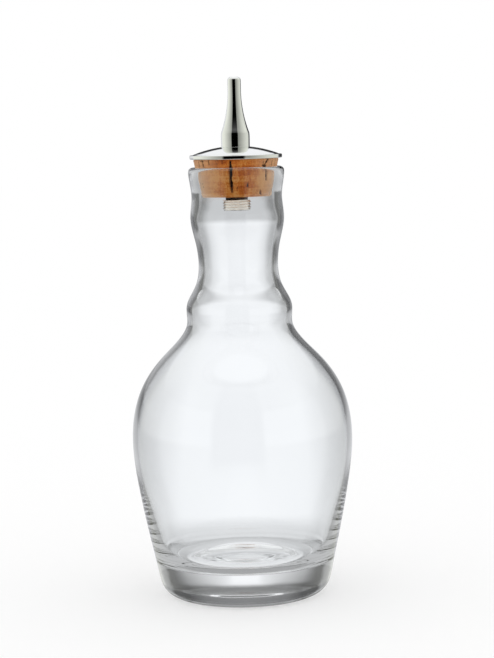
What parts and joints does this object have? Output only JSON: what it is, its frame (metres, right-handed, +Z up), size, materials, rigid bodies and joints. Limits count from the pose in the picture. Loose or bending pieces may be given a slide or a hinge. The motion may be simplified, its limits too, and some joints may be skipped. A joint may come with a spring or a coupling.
{
  "type": "dasher bottle",
  "caption": "Clear glass bottle with a heavy base, collared and waisted neck, and a tapered cork that carries a domed metal cap and a long screw-in dasher spout.",
  "frame": {"origin": "middle of the standing face, on the surface that the bottle stands on", "axes": "+Z up along the bottle's axis, the same all round"},
  "size_m": [0.055, 0.055, 0.1294],
  "materials": {
    "clear_glass": "polished clear",
    "natural_cork": "natural cork",
    "polished_metal": "mirror polished",
    "threaded_metal": "bright turned"
  },
  "bodies": {
    "bottle": {"glass_bottle": "clear_glass"},
    "cork": {"cork_stopper": "natural_cork"},
    "dome": {"dome_cap": "polished_metal"},
    "dasher": {"spout": "polished_metal", "stem_tube": "threaded_metal"}
  },
  "joints": [
    {"name": "stopper_pull", "type": "slide", "parent": "bottle", "child": "cork", "axis": [0, 0, 1], "range_m": [0, 0.03]},
    {"name": "dasher_rise", "type": "slide", "parent": "cork", "child": "dome", "axis": [0, 0, 1], "range_m": [0, 0.01206]},
    {"name": "spout_unscrew", "type": "hinge", "parent": "dome", "child": "dasher", "pos_m": [0, 0, 0.1094], "axis": [0, 0, 1], "range_deg": [0, 6840]}
  ],
  "couplings": [
    {"joint": "spout_unscrew", "follows": "dasher_rise", "rad_per_m": 9894.8}
  ]
}
